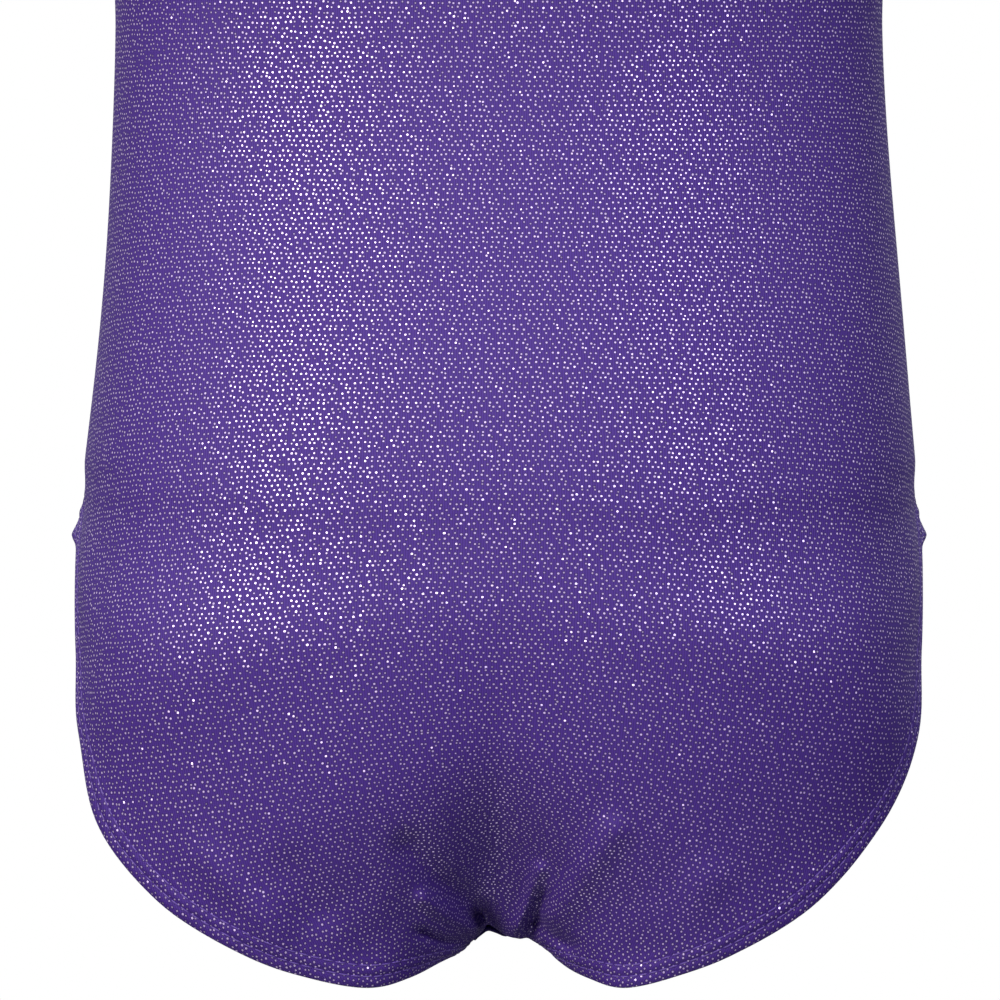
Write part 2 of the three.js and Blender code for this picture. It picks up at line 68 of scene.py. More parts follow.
# ---- Studio ----------------------------------------------------------------------------------
# A white room: a plain pale floor well below the garment, two large soft boxes behind the
# wearer, the stronger one on the wearer's left, and soft light from all round.
def add_node(tree, kind, settings=None, links=None):
    """Adds a node. Settings are properties, or inputs by name or number; links feed inputs."""
    node = tree.nodes.new(kind)
    settings = settings or {}
    for key, value in settings.items():
        if isinstance(key, str) and key.islower():
            setattr(node, key, value)
    for key, value in settings.items():
        if not (isinstance(key, str) and key.islower()):
            node.inputs[key].default_value = value
    for key, source in (links or {}).items():
        tree.links.new(source, node.inputs[key])
    return node


def linear(colour):
    """A hex sRGB colour as linear RGBA."""
    parts = [int(colour[i:i + 2], 16) / 255 for i in (1, 3, 5)]
    rgb = [c / 12.92 if c <= 0.04045 else ((c + 0.055) / 1.055) ** 2.4 for c in parts]
    return (*rgb, 1)


world = bpy.data.worlds.new("studio")
bpy.context.scene.world = world
world.use_nodes = True
tree = world.node_tree
tree.nodes.clear()
ray = add_node(tree, "ShaderNodeLightPath")
direction = add_node(tree, "ShaderNodeTexCoord")
split = add_node(tree, "ShaderNodeSeparateXYZ", links={0: direction.outputs["Generated"]})
above = add_node(tree, "ShaderNodeMapRange", {1: -0.1, 2: 0.5, 3: 0.0, 4: 1.0}, {0: split.outputs["Z"]})
room = add_node(tree, "ShaderNodeMix", {"data_type": "RGBA", 6: (0.03, 0.03, 0.035, 1), 7: (0.55, 0.54, 0.57, 1)},
                {0: above.outputs[0]})
behind = add_node(tree, "ShaderNodeMapRange", {1: -0.35, 2: -0.9, 3: 0.0, 4: 1.0}, {0: split.outputs["Y"]})
level_up = add_node(tree, "ShaderNodeMapRange", {1: -0.2, 2: 0.1, 3: 0.0, 4: 1.0}, {0: split.outputs["Z"]})
toward = add_node(tree, "ShaderNodeMath", {"operation": "MULTIPLY"}, {0: behind.outputs[0], 1: level_up.outputs[0]})
dim = add_node(tree, "ShaderNodeMix", {"data_type": "RGBA", 7: (0.6, 0.6, 0.6, 1)},
               {0: toward.outputs[0], 6: room.outputs[2]})
shown = add_node(tree, "ShaderNodeMix", {"data_type": "RGBA", 7: (1, 1, 1, 1)},
                 {0: ray.outputs["Is Camera Ray"], 6: dim.outputs[2]})
glow = add_node(tree, "ShaderNodeBackground", {"Strength": 1.0}, {"Color": shown.outputs[2]})
add_node(tree, "ShaderNodeOutputWorld", links={"Surface": glow.outputs[0]})


def soft_box(name, place, aim, width, height, power, tint="#ffffff"):
    data = bpy.data.lights.new(name, "AREA")
    data.shape = "RECTANGLE"
    data.size, data.size_y = width, height
    data.energy = power
    data.color = linear(tint)[:3]
    lamp = bpy.data.objects.new(name, data)
    lamp.location = place
    lamp.rotation_euler = (Vector(aim) - Vector(place)).to_track_quat("-Z", "Y").to_euler()
    bpy.context.collection.objects.link(lamp)


middle = (0, 0, HEM + 0.2)
soft_box("left_soft_box", (1.12, 1.68, HEM + 0.82), middle, 0.8, 1.1, 33, "#fff6ec")
soft_box("right_soft_box", (-1.05, 1.8, HEM + 1.0), middle, 0.55, 0.9, 13.5, "#fbf6ff")

bpy.ops.mesh.primitive_circle_add(vertices=96, radius=0.8, fill_type="NGON", location=(0, 0, HEM - 1.5))
floor = bpy.context.object
floor.name = "floor"
paper = bpy.data.materials.new("white_paper_floor")
paper.use_nodes = True
paper.node_tree.nodes["Principled BSDF"].inputs["Base Color"].default_value = linear("#f2f2f2")
paper.node_tree.nodes["Principled BSDF"].inputs["Roughness"].default_value = 0.8
floor.data.materials.append(paper)


# ---- Back and front panels ---------------------------------------------------------------------
# Two pieces of violet nylon-elastane tricot printed with a foil dot, sewn together at the sides,
# the shoulders and the crotch. Each is one sheet of cloth, stretched on a child's trunk.
LENGTH = 500  # mm from here on, heights above the lowest point of the seat's hem
UNDERARM = 365
WAIST = 275
LEG_TOP = 129
HIP_HALF = 122.5
WAIST_HALF = 110.2
CHEST_HALF = 118
HIP_DEPTH = {1: 86, -1: 84}  # 1 is the back, -1 the front
WAIST_DEPTH = {1: 62, -1: 66}
CHEST_DEPTH = {1: 72, -1: 78}
CROTCH_HALF = 14
CROTCH_HEIGHT = 17
CROTCH_ARCH = 8.2
NECK_HALF = 58
STRAP = 42
SHOULDER_DROP = 12
NECK_DROP = {1: 50, -1: 78}
ROLL = 100
ARMHOLE_ROUND = 50
SHOULDER_FLARE = 5
HEM_WIDTH = 9
WAIST_FULLNESS = 0.93
HIP_FULLNESS = 0.8
SEAT_FULLNESS = 9
CLOTH = 0.6

ROLL_START = LENGTH - ROLL
ROLL_LENGTH = ROLL * 1.3
ROLL_END = ROLL_START + ROLL_LENGTH
TRUNK_START = LEG_TOP + HEM_WIDTH * 1.1
SEAT_LEVEL = LEG_TOP * 0.92
QUARTER = math.pi / 2

# How many cells the cloth is divided into, along and across each region.
COLUMNS = 44
SEAT_ROWS = 120
TORSO_ROWS = 90
ROUND_ROWS = 35
RISE_ROWS = 35
NECK_ROWS = 42
BAND_COLUMNS = 24


def mix(a, b, t):
    return a + (b - a) * t


def ease(t):
    return 0.5 - 0.5 * np.cos(np.pi * np.clip(t, 0, 1))


def half_width(height):
    below = np.clip((WAIST - height) / (WAIST - LEG_TOP), 0, None)
    above = np.clip((height - WAIST) / (UNDERARM - WAIST), 0, None)
    return (WAIST_HALF + (HIP_HALF - 1 - WAIST_HALF) * below ** 1.5
            + (CHEST_HALF - WAIST_HALF) * above ** 1.5)


def centre_depth(face, height):
    lower = mix(HIP_DEPTH[face], WAIST_DEPTH[face], ease((height - SEAT_LEVEL) / (WAIST - SEAT_LEVEL)))
    upper = (CHEST_DEPTH[face] - WAIST_DEPTH[face]) * ease((height - WAIST) / (ROLL_START - WAIST))
    return lower + upper


def strap_top(x):
    return LENGTH - SHOULDER_DROP / STRAP * (x - NECK_HALF)


def roll_turn(level):
    return np.clip((level - ROLL_START) / ROLL_LENGTH, 0, None) * QUARTER


def level_half_width(level):
    return half_width(np.minimum(level, ROLL_START)) + SHOULDER_FLARE * np.sin(roll_turn(level))


def trunk_point(face, angle, level):
    """A point of the trunk. The angle is 0 at the centre line and a quarter turn at the side."""
    roll = roll_turn(level)
    height = np.minimum(level, ROLL_START)
    full = mix(WAIST_FULLNESS, HIP_FULLNESS, ease((WAIST - height) / (WAIST - LEG_TOP)))
    x = level_half_width(level) * np.clip(np.sin(angle), 0, None) ** full
    y = centre_depth(face, height) * np.clip(np.cos(angle), 0, None) ** full
    y = y * np.clip(np.cos(roll), 0, None)
    z = height + (strap_top(x) - ROLL_START) * np.sin(roll)
    return np.stack(np.broadcast_arrays(x, face * y, z), axis=-1)


def angle_at(x, level):
    return np.arcsin(np.clip(x / level_half_width(level), 0, 1) ** (1 / WAIST_FULLNESS))


def neck_line(face):
    bottom = LENGTH - NECK_DROP[face]
    share = math.asin((bottom - ROLL_START) / (strap_top(0) - ROLL_START)) / QUARTER
    turn = np.linspace(0, QUARTER, NECK_ROWS + 1)
    level = mix(ROLL_END, ROLL_START + share * ROLL_LENGTH, np.cos(turn))
    return angle_at(NECK_HALF * np.sin(turn), level), level


def armhole_line():
    upper = float(angle_at(NECK_HALF + STRAP, ROLL_END))
    turn = np.linspace(0, QUARTER, ROUND_ROWS + 1)
    angle = mix(QUARTER, upper, np.sin(turn))
    level = UNDERARM + ARMHOLE_ROUND * (1 - np.cos(turn))
    rise = np.linspace(UNDERARM + ARMHOLE_ROUND, ROLL_END, RISE_ROWS + 1)[1:]
    return np.append(angle, np.full(RISE_ROWS, upper)), np.append(level, rise)


def inset_line(face, angle, level, side):
    """The line one hem width inside an edge line, as angles and levels, and the edge's points."""
    step = 0.02
    here = trunk_point(face, angle, level)
    along = np.gradient(here, axis=0)
    along /= np.linalg.norm(along, axis=1, keepdims=True)
    inner, outer = np.maximum(0, angle - step), np.minimum(QUARTER, angle + step)
    by_angle = (trunk_point(face, outer, level) - trunk_point(face, inner, level)) / (outer - inner)[:, None]
    low, high = level - step, np.minimum(ROLL_END, level + step)
    by_level = (trunk_point(face, angle, high) - trunk_point(face, angle, low)) / (high - low)[:, None]
    normal = np.cross(by_level, by_angle) * face
    normal /= np.linalg.norm(normal, axis=1, keepdims=True)
    inward = np.cross(normal, along) * (side * face * HEM_WIDTH)
    aa, al, ll = (by_angle ** 2).sum(1), (by_angle * by_level).sum(1), (by_level ** 2).sum(1)
    ta, tl = (inward * by_angle).sum(1), (inward * by_level).sum(1)
    det = aa * ll - al * al
    return angle + (ta * ll - tl * al) / det, level + (tl * aa - ta * al) / det, here


# Rows of the seat: the leg edge as shares of the way out, of the depth and of the height of the
# leg opening, the cloth's direction as it reaches that edge, and the centre line beside it.
SEAT = {
    1: [
        ((0, 0, 0.068), (0.85, 0, -0.53), (0, 0.13)),
        ((0.007, 0.15, 0.062), (0.83, -0.1, -0.55), (0.163, 0.143)),
        ((0.041, 0.314, 0.042), (0.65, -0.3, -0.7), (0.36, 0.178)),
        ((0.115, 0.465, 0.018), (0.38, -0.35, -0.86), (0.535, 0.24)),
        ((0.228, 0.57, 0), (0.12, -0.36, -0.93), (0.674, 0.318)),
        ((0.367, 0.628, 0.0225), (0.12, -0.36, -0.93), (0.79, 0.41)),
        ((0.532, 0.657, 0.0775), (0.33, -0.38, -0.86), (0.872, 0.512)),
        ((0.734, 0.616, 0.19), (0.52, -0.47, -0.71), (0.93, 0.62)),
        ((0.9, 0.523, 0.364), (0.5, -0.66, -0.56), (0.971, 0.729)),
        ((0.972, 0.424, 0.558), (0.36, -0.88, -0.3), (0.994, 0.83)),
        ((0.992, 0.314, 0.736), (0.22, -0.96, -0.18), (1, 0.922)),
        ((0.998, 0.174, 0.907), (0.1, -0.99, -0.08), (0.995, 1.007)),
        ((1, 0, 1), (0, -1, 0), (0.985, 1.077)),
    ],
    -1: [
        ((0, 0, 0.068), (0.85, 0, -0.53), (0, 0.13)),
        ((0.006, 0.143, 0.074), (0.83, 0.1, -0.55), (0.155, 0.14)),
        ((0.037, 0.298, 0.1), (0.72, 0.2, -0.66), (0.333, 0.17)),
        ((0.12, 0.464, 0.163), (0.62, 0.25, -0.74), (0.5, 0.233)),
        ((0.24, 0.595, 0.256), (0.6, 0.3, -0.74), (0.643, 0.318)),
        ((0.376, 0.68, 0.364), (0.6, 0.35, -0.72), (0.75, 0.41)),
        ((0.523, 0.714, 0.48), (0.6, 0.42, -0.68), (0.833, 0.512)),
        ((0.67, 0.68, 0.605), (0.58, 0.5, -0.64), (0.893, 0.62)),
        ((0.8, 0.583, 0.72), (0.52, 0.68, -0.5), (0.94, 0.745)),
        ((0.9, 0.452, 0.82), (0.42, 0.84, -0.32), (0.976, 0.86)),
        ((0.959, 0.32, 0.9), (0.3, 0.94, -0.15), (0.994, 0.955)),
        ((0.99, 0.167, 0.965), (0.12, 0.99, -0.05), (1, 1.02)),
        ((1, 0, 1), (0, 1, 0), (1, 1.077)),
    ],
}


def smooth_line(points, t):
    """A curve through points, at shares t of its length in steps."""
    points = np.asarray(points, dtype=float)
    padded = np.vstack([2 * points[0] - points[1], points, 2 * points[-1] - points[-2]])
    place = np.asarray(t) * (len(points) - 1)
    i = np.minimum(place.astype(int), len(points) - 2)
    w = (place - i)[:, None]
    a, b, c, d = (padded[i + k] for k in range(4))
    m0, m1 = (c - a) / 2, (d - b) / 2
    return ((2 * w ** 3 - 3 * w ** 2 + 1) * b + (w ** 3 - 2 * w ** 2 + w) * m0
            + (3 * w ** 2 - 2 * w ** 3) * c + (w ** 3 - w ** 2) * m1)


def unit(v):
    return v / np.linalg.norm(v, axis=-1, keepdims=True)


def seat_rows(face):
    """The cloth from the crotch to the leg openings' tops: rows of points, and the leg edge."""
    depth = HIP_DEPTH[face]
    edge = [(mix(CROTCH_HALF, HIP_HALF, e[0]), face * e[1] * depth, e[2] * LEG_TOP) for e, _, _ in SEAT[face]]
    edge[0] = (CROTCH_HALF, 0, CROTCH_HEIGHT - CROTCH_ARCH)
    centre = [(0, face * c[0] * depth, c[1] * LEG_TOP) for _, _, c in SEAT[face]]
    centre[0] = (0, 0, CROTCH_HEIGHT)
    centre[-1] = (0, face * float(centre_depth(face, TRUNK_START)), TRUNK_START)
    t = np.arange(SEAT_ROWS + 1) / SEAT_ROWS
    edge_points = smooth_line(edge, t)
    centre_points = smooth_line(centre, t)
    out = unit(smooth_line([o for _, o, _ in SEAT[face]], t))
    along = unit(np.gradient(edge_points, axis=0))
    square = unit(out - (out * along).sum(1, keepdims=True) * along)
    square[0] = out[0]
    inner = edge_points - HEM_WIDTH * square
    bulge = SEAT_FULLNESS * np.sin(np.pi * np.minimum(1, t * 1.1)) ** 2
    at_centre = centre_points.copy()
    at_centre[:, 0] += inner[:, 0] * mix(0.5, 0.66, t)
    if face > 0:
        at_centre[:, 1] += bulge
    span = np.linalg.norm(centre_points - inner, axis=1)
    reach = mix(0.42 * span, 0.66 * np.abs(centre_points[:, 1] - inner[:, 1]), t)
    at_band = inner - out * reach[:, None]
    u = np.linspace(0, 1, COLUMNS + 1)[None, :, None]
    rows = ((1 - u) ** 3 * centre_points[:, None] + 3 * (1 - u) ** 2 * u * at_centre[:, None]
            + 3 * (1 - u) * u ** 2 * at_band[:, None] + u ** 3 * inner[:, None])
    # Towards the trunk the seat's fuller section eases down to the trunk's own, and over its last
    # part the seat runs into the trunk's first row, sooner at the leg edge.
    wide, deep = level_half_width(TRUNK_START), centre_depth(face, TRUNK_START)
    fullness = (np.abs(rows[..., 0] / wide) ** 2.5 + np.abs(rows[..., 1] / deep) ** 2.5) ** 0.4
    keep = ease((TRUNK_START - rows[..., 2]) / (45 if face > 0 else 25))
    keep = mix(keep, 1, ease((u[..., 0] - 0.8) / 0.2))
    rows[..., :2] *= (1 - np.maximum(0, fullness - 1) * (1 - keep) / np.maximum(fullness, 1))[..., None]
    trunk_row = trunk_point(face, np.linspace(0, QUARTER, COLUMNS + 1), TRUNK_START)
    run = mix(0.42, 0.13, ease((u - 0.6) / 0.4))
    rows = rows + ease((t[:, None, None] - 1 + run) / run) * (trunk_row - rows[-1])[None]
    return rows[:-1], edge_points


def half_panel(face):
    """Rows of points from crotch to shoulder on the wearer's left, and the edges of the openings."""
    seat, leg_edge = seat_rows(face)
    yoke_start = UNDERARM - HEM_WIDTH
    angle = np.linspace(0, QUARTER, COLUMNS + 1)[None, :]
    level = np.linspace(TRUNK_START, yoke_start, TORSO_ROWS + 1)[:-1, None]
    torso = trunk_point(face, angle, level)
    neck_angle, neck_level, neck_edge = inset_line(face, *neck_line(face), 1)
    arm_angle, arm_level, arm_edge = inset_line(face, *armhole_line(), -1)
    neck_angle[0], neck_level[-1] = 0, ROLL_END
    neck_angle[-1] = angle_at(NECK_HALF + HEM_WIDTH, ROLL_END)
    arm_angle[0], arm_level[0], arm_level[-1] = QUARTER, yoke_start, ROLL_END
    arm_angle[-1] = angle_at(NECK_HALF + STRAP - HEM_WIDTH, ROLL_END)
    centre_rows = len(arm_angle) - 1 - NECK_ROWS
    start_angle = np.append(np.zeros(centre_rows), neck_angle)
    start_level = np.append(np.linspace(yoke_start, neck_level[0], centre_rows + 1)[:-1], neck_level)
    share = np.linspace(0, 1, COLUMNS + 1)[None, :]
    yoke = trunk_point(face, mix(start_angle[:, None], arm_angle[:, None], share),
                       mix(start_level[:, None], arm_level[:, None], share))
    rows = np.concatenate([seat, torso, yoke])
    yoke_row = len(seat) + len(torso)
    return {"rows": rows, "leg": leg_edge, "armhole": arm_edge, "neck": neck_edge,
            "yoke_row": yoke_row, "neck_row": yoke_row + centre_rows}


EDGE = 9  # steps round the fold of a hem
FOLD = 2.3  # thickness of a hem: cloth, elastic, cloth
FIRST_STITCH = 3
SECOND_STITCH = 6.5


def mirrored(points):
    return points * np.array([-1, 1, 1])


panel_halves = {face: half_panel(face) for face in (1, -1)}
PLACES = {"leg": ("leg", 0, -1), "armhole": ("armhole", "yoke_row", -1), "neck": ("neck", "neck_row", 0)}


def border(face, opening):
    """The edge of an opening on one half of a panel, and the line one hem width inside it."""
    key, first, column = PLACES[opening]
    half = panel_halves[face]
    first = half.get(first, first) if isinstance(first, str) else first
    edge = half[key]
    return edge, half["rows"][first:first + len(edge), column]


class Band:
    """The border band round an opening, as a closed loop. Places points by the distance in from
    the edge and the depth under the cloth's outer face."""

    def __init__(self, opening):
        (back_edge, back_inner), (front_edge, front_inner) = border(1, opening), border(-1, opening)
        if opening == "neck":
            edge = np.concatenate([back_edge, front_edge[-2::-1]])
            inner = np.concatenate([back_inner, front_inner[-2::-1]])
            edge = np.concatenate([edge, mirrored(edge[-2:0:-1])])
            inner = np.concatenate([inner, mirrored(inner[-2:0:-1])])
        else:
            edge = np.concatenate([back_edge, front_edge[-2:0:-1]])
            inner = np.concatenate([back_inner, front_inner[-2:0:-1]])
        self.last = len(back_edge) - 1
        self.edge, self.inward = edge, (inner - edge) / HEM_WIDTH
        along = np.roll(edge, -1, axis=0) - np.roll(edge, 1, axis=0)
        normal = unit(np.cross(along, self.inward))
        outward = (normal * edge * np.array([1, 1, 0])).sum()
        self.normal = normal * np.sign(outward)

    def lines(self, face):
        """Which lines of the loop belong to the left half of a panel, from its first row on."""
        k = np.arange(self.last + 1)
        count = len(self.edge)
        if face > 0:
            return k
        return 2 * self.last - k if count > 2 * self.last + 1 else (count - k) % count

    def points(self, distance, depth, lines=slice(None)):
        distance, depth = np.atleast_1d(distance), np.atleast_1d(depth)
        edge, inward, normal = (a[lines][:, None] for a in (self.edge, self.inward, self.normal))
        return edge + inward * distance[None, :, None] - normal * depth[None, :, None]


def hem_relief(distance):
    """How far the cloth stands out over the elastic; the stitch rows pull it in."""
    puff = np.where(distance < FIRST_STITCH, 0.28 * np.sin(np.pi * distance / FIRST_STITCH), 0)
    between = (distance - FIRST_STITCH) / (SECOND_STITCH - FIRST_STITCH)
    puff = np.where((between >= 0) & (between < 1), 0.42 * np.sin(np.pi * between), puff)
    rest = (distance - SECOND_STITCH) / (HEM_WIDTH - SECOND_STITCH)
    return np.where((rest >= 0) & (rest < 1), 0.12 * np.sin(np.pi * rest), puff)


bands = {opening: Band(opening) for opening in PLACES}

# Folds where the cloth bunches between the legs, as lines seen from behind (mm to the wearer's
# left, and height), the fold's half width, and how far it stands out towards the back.
FOLDS = [
    ([(-11.4, 33), (-8.5, 24), (-5.2, 16)], 1.9, 3.5),
    ([(-12, 25), (-10.4, 19), (-9, 13)], 1.9, -4.5),
    ([(4.6, 19.4), (3, 17), (1.4, 13)], 2.6, -18),
    ([(21, 25), (14, 19.5), (8, 16)], 2.3, 3),
    ([(22, 15), (15, 11.5), (7, 12)], 1.5, -4.5),
    ([(25, 40), (17, 30), (9, 24)], 4, -4),
    ([(-32, 44), (-23, 31), (-15, 19)], 4.5, 3),
    ([(-11, 18), (-15, 14), (-20, 11)], 2.2, -4.5),
    ([(82, 36), (72, 25), (63, 15)], 5, 1.6),
    ([(58, 34), (50, 22)], 5, -1.6),
    ([(-60, 30), (-50, 16)], 6, 1.2),
]


def near_line(x, z, line, width):
    """1 on a line seen from behind, falling off to 0 a few widths away."""
    closest = np.full(x.shape, 1e9)
    for (ax, az), (bx, bz) in zip(line, line[1:]):
        dx, dz = bx - ax, bz - az
        t = np.clip(((x - ax) * dx + (z - az) * dz) / (dx * dx + dz * dz), 0, 1)
        closest = np.minimum(closest, (x - ax - t * dx) ** 2 + (z - az - t * dz) ** 2)
    return np.exp(-closest / width ** 2)


def drape(points):
    """Moves the garment's layers together: the sagging crotch, its folds, and the hem's nub."""
    p = np.array(points, dtype=float)
    x, y, z = p[..., 0].copy(), p[..., 1].copy(), p[..., 2].copy()
    sway = 3.0 * ease((72 - z) / 36) * ease((np.abs(x) - 25) / 40) - 0.95 * np.exp(-((z - 195) / 50) ** 2)
    trim = 1.1 * ease((z - 70) / 25) * ease((150 - z) / 10)
    x = x * (1 - 0.08 * np.exp(-np.maximum(z, 0) / 9)) + sway - np.sign(x) * trim * ease((np.abs(x) - 95) / 20)
    p[..., 0] = x
    low_part = np.exp(-(y / 24) ** 2) * ease((60 - z) / 30)
    sag = -4.6 * np.exp(-((x + 2.4) / 5.5) ** 2) - 2.6 * np.exp(-((x - 11.5) / 6) ** 2)
    hang = 8 * np.exp(-((x + 2) / 7.5) ** 2) * np.exp(-((y - 32) / 12) ** 2) * ease((60 - z) / 25)
    p[..., 2] -= hang
    notch = 3.6 * np.exp(-((x + 12) / 5.5) ** 2) + 2.7 * np.exp(-((x + 8.2) / 1.6) ** 2) \
        - 0.5 * np.exp(-((x - 1.6) / 1.8) ** 2)
    p[..., 2] += (sag + notch) * low_part
    z = p[..., 2]
    behind = ease((y + 6) / 12) * ease((80 - z) / 25)
    cleft = -6 * np.exp(-((x - 1) / 13) ** 2) * ease((72 - z) / 40)
    folds = sum(height * near_line(x, z, line, width) for line, width, height in FOLDS)
    p[..., 1] += (folds + cleft) * behind
    ripple = 0.35 * np.sin(x / 3.1 + z / 7.0) * np.sin(z / 5.3 - x / 11.0)
    p[..., 1] += ripple * behind * ease((50 - z) / 30)
    nub = 1.5 * np.exp(-((z - LEG_TOP + 1.6) / 2.3) ** 2) * np.exp(-(y / 9) ** 2)
    p[..., 0] += np.sign(x) * nub * ease((np.abs(x) - 100) / 15)
    return p


def grid_faces(count, width, first, flip, closed=False):
    """Quads of a grid of points numbered row by row; a closed grid joins its last row to its first."""
    j, i = np.mgrid[0:count if closed else count - 1, 0:width - 1]
    a, b = first + (j * width + i).ravel(), first + ((j + 1) % count * width + i).ravel()
    quads = np.stack([a, a + 1, b + 1, b], axis=1)
    return quads[:, ::-1] if flip else quads


def to_metres(points):
    placed = drape(np.reshape(points, (-1, 3))) * MM
    placed[:, 2] += HEM
    return placed


def mesh_piece(name, grids, merge=2e-6):
    """One mesh of several grids, each (points, flip, closed), merged where they meet. The cloth's
    outer face is on the side the faces are seen from."""
    points, faces, first = [], [], 0
    for grid, flip, closed in grids:
        count, width = grid.shape[:2]
        points.append(grid.reshape(-1, 3))
        faces.append(grid_faces(count, width, first, flip, closed))
        first += count * width
    mesh = bpy.data.meshes.new(name)
    mesh.from_pydata(to_metres(np.concatenate(points)).tolist(), [], np.concatenate(faces).tolist())
    made = bmesh.new()
    made.from_mesh(mesh)
    bmesh.ops.remove_doubles(made, verts=made.verts, dist=merge)
    bmesh.ops.dissolve_degenerate(made, dist=merge, edges=made.edges)
    made.to_mesh(mesh)
    made.free()
    mesh.shade_smooth()
    piece = bpy.data.objects.new(name, mesh)
    bpy.context.collection.objects.link(piece)
    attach(piece, "root")
    return piece


def use_only(piece):
    bpy.ops.object.select_all(action="DESELECT")
    piece.select_set(True)
    bpy.context.view_layer.objects.active = piece


def lay_flat(piece):
    """Gives a sheet a UV map in metres by laying the cloth out flat, its length along V. Returns
    the cloth's area."""
    use_only(piece)
    mesh = piece.data
    if mesh.uv_layers:
        mesh.uv_layers.remove(mesh.uv_layers[0])
    bpy.ops.object.mode_set(mode="EDIT")
    bpy.ops.mesh.select_all(action="SELECT")
    bpy.ops.uv.unwrap(method="MINIMUM_STRETCH", iterations=6, margin=0)
    bpy.ops.object.mode_set(mode="OBJECT")
    layer = mesh.uv_layers.active
    layer.name = "flat_cloth"
    uv = np.zeros(len(mesh.loops) * 2)
    layer.data.foreach_get("uv", uv)
    uv = uv.reshape(-1, 2)
    corners = np.zeros(len(mesh.loops), dtype=int)
    mesh.loops.foreach_get("vertex_index", corners)
    place = np.zeros(len(mesh.vertices) * 3)
    mesh.vertices.foreach_get("co", place)
    place = place.reshape(-1, 3)[corners]
    middle_line = np.abs(place[:, 0]) < 1e-5
    line_uv, line_z = uv[middle_line], place[middle_line][:, 2]
    up = line_uv[np.argmax(line_z)] - line_uv[np.argmin(line_z)]
    turn = math.pi / 2 - math.atan2(up[1], up[0])
    c, s = math.cos(turn), math.sin(turn)
    uv = uv @ np.array([[c, s], [-s, c]])
    area = sum(polygon.area for polygon in mesh.polygons)
    starts = np.array([polygon.loop_start for polygon in mesh.polygons if polygon.loop_total == 4])
    corner = [uv[starts + k] for k in range(4)]
    one, two = corner[2] - corner[0], corner[3] - corner[1]
    uv *= math.sqrt(area / (np.abs(one[:, 0] * two[:, 1] - one[:, 1] * two[:, 0]).sum() / 2))
    layer.data.foreach_set("uv", uv.ravel())
    return area


def thicken(piece, thickness, inside_slot=0):
    """Gives a sheet its thickness, inwards from its outer face."""
    use_only(piece)
    solid = piece.modifiers.new("thickness", "SOLIDIFY")
    solid.thickness = thickness * MM
    solid.offset = -1
    solid.use_even_offset = False
    solid.material_offset = inside_slot
    bpy.ops.object.modifier_apply(modifier=solid.name)


def knit_bump(tree, uv, across, along, strength, height):
    """The wales of a warp knit as a bump, from the distance between wales and between courses."""
    split = add_node(tree, "ShaderNodeSeparateXYZ", links={0: uv.outputs[0]})
    wander = add_node(tree, "ShaderNodeTexNoise", {"Scale": 90.0, "Detail": 2.0}, {"Vector": uv.outputs[0]})
    side = add_node(tree, "ShaderNodeMath", {"operation": "MULTIPLY_ADD", 1: 0.5 * across * MM},
                    {0: wander.outputs[0], 2: split.outputs["X"]})
    wale = add_node(tree, "ShaderNodeMath", {"operation": "MULTIPLY", 1: 2 * math.pi / (across * MM)},
                    {0: side.outputs[0]})
    course = add_node(tree, "ShaderNodeMath", {"operation": "MULTIPLY", 1: 2 * math.pi / (along * MM)},
                      {0: split.outputs["Y"]})
    ridge = add_node(tree, "ShaderNodeMath", {"operation": "SINE"}, {0: wale.outputs[0]})
    loop = add_node(tree, "ShaderNodeMath", {"operation": "SINE"}, {0: course.outputs[0]})
    relief = add_node(tree, "ShaderNodeMath", {"operation": "MULTIPLY_ADD", 1: 0.3},
                      {0: loop.outputs[0], 2: ridge.outputs[0]})
    bump = add_node(tree, "ShaderNodeBump", {"Strength": strength, "Distance": height * MM},
                    {"Height": relief.outputs[0]})
    return bump, ridge


def new_material(name):
    material = bpy.data.materials.new(name)
    material.use_nodes = True
    material.node_tree.nodes.clear()
    tree = material.node_tree
    return material, tree, add_node(tree, "ShaderNodeUVMap", {"uv_map": "flat_cloth"})


